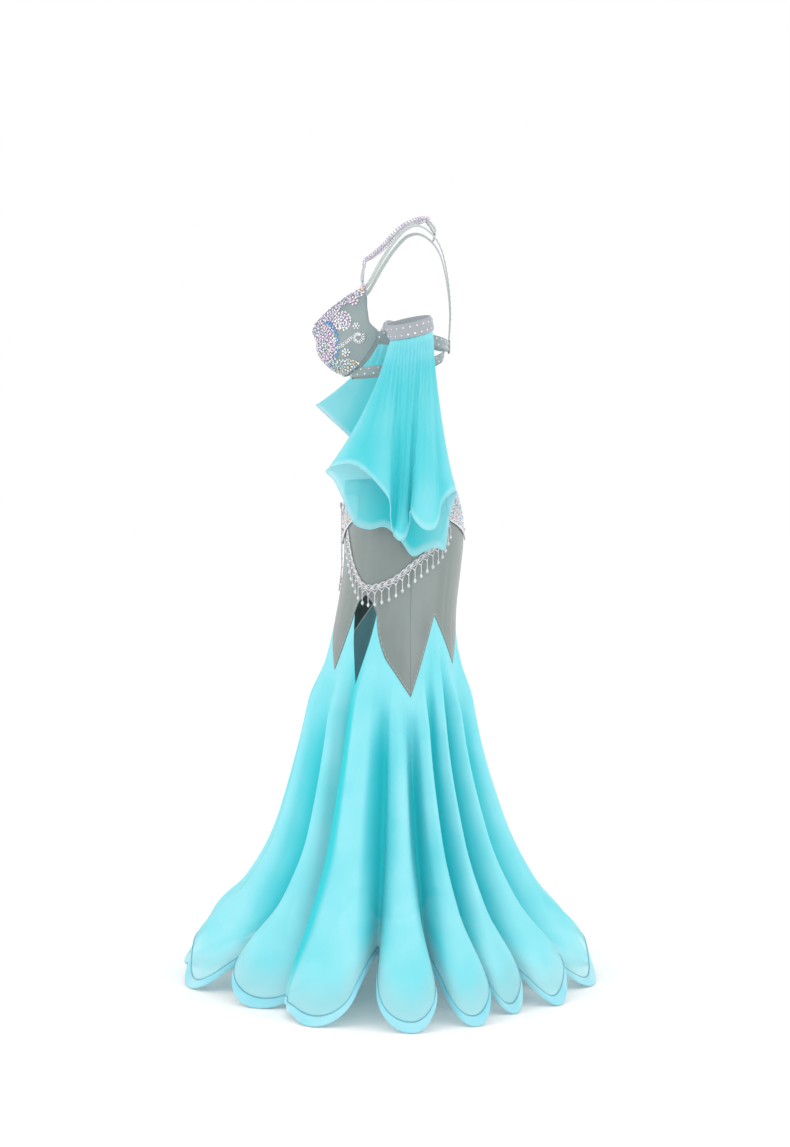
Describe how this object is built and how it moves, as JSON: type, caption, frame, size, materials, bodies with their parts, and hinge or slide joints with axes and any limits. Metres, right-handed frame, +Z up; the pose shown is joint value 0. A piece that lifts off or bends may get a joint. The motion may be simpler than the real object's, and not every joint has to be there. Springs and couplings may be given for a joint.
{
  "type": "belly dance costume",
  "caption": "Belly dance costume in its worn form: beaded bra, two chiffon flounce sleeves on arm bands, and a mermaid skirt with a slit, wavy stiffened hem and beaded hips.",
  "frame": {"origin": "middle of the wearer's hips, 900 mm above the floor that the hem just reaches", "axes": "+X to the wearer's left, -Y to the front, +Z up"},
  "size_m": [0.868, 0.7976, 1.4425],
  "materials": {
    "aqua_chiffon": "sheer satin-edged chiffon, soft sheen",
    "hem_braid": "stiffened hem band with a stitched edge",
    "grey_satin": "stretch satin, soft sheen",
    "bead_applique": "crystals, rhinestones and seed beads",
    "silver_fringe": "silver-lined beads and pearls",
    "rhinestone_strap": "strap set with small rhinestones",
    "metal_ring": "polished ring"
  },
  "bodies": {
    "root": {"godet_front": "aqua_chiffon", "godet_front_left": "aqua_chiffon", "godet_side_left": "aqua_chiffon", "godet_back_left": "aqua_chiffon", "godet_back": "aqua_chiffon", "godet_back_right": "aqua_chiffon", "godet_front_right": "aqua_chiffon", "sleeve_left": "aqua_chiffon", "sleeve_right": "aqua_chiffon", "hem_braid": "hem_braid", "yoke_back": "grey_satin", "yoke_front": "grey_satin", "waistband": "grey_satin", "cup_left": "grey_satin", "cup_right": "grey_satin", "upper_band_left": "grey_satin", "upper_band_right": "grey_satin", "lower_band_left": "grey_satin", "lower_band_right": "grey_satin", "arm_band_left": "grey_satin", "arm_band_right": "grey_satin", "applique_front": "bead_applique", "applique_back": "bead_applique", "centre_gore": "bead_applique", "halter_pendant": "bead_applique", "hip_fringe_left": "silver_fringe", "hip_fringe_right": "silver_fringe", "front_tassel": "silver_fringe", "shoulder_strap_left": "rhinestone_strap", "shoulder_strap_right": "rhinestone_strap", "halter_left": "rhinestone_strap", "halter_right": "rhinestone_strap", "halter_strand_left": "rhinestone_strap", "halter_strand_right": "rhinestone_strap", "nape_strand_left": "rhinestone_strap", "nape_strand_right": "rhinestone_strap", "back_ring": "metal_ring"}
  },
  "joints": []
}
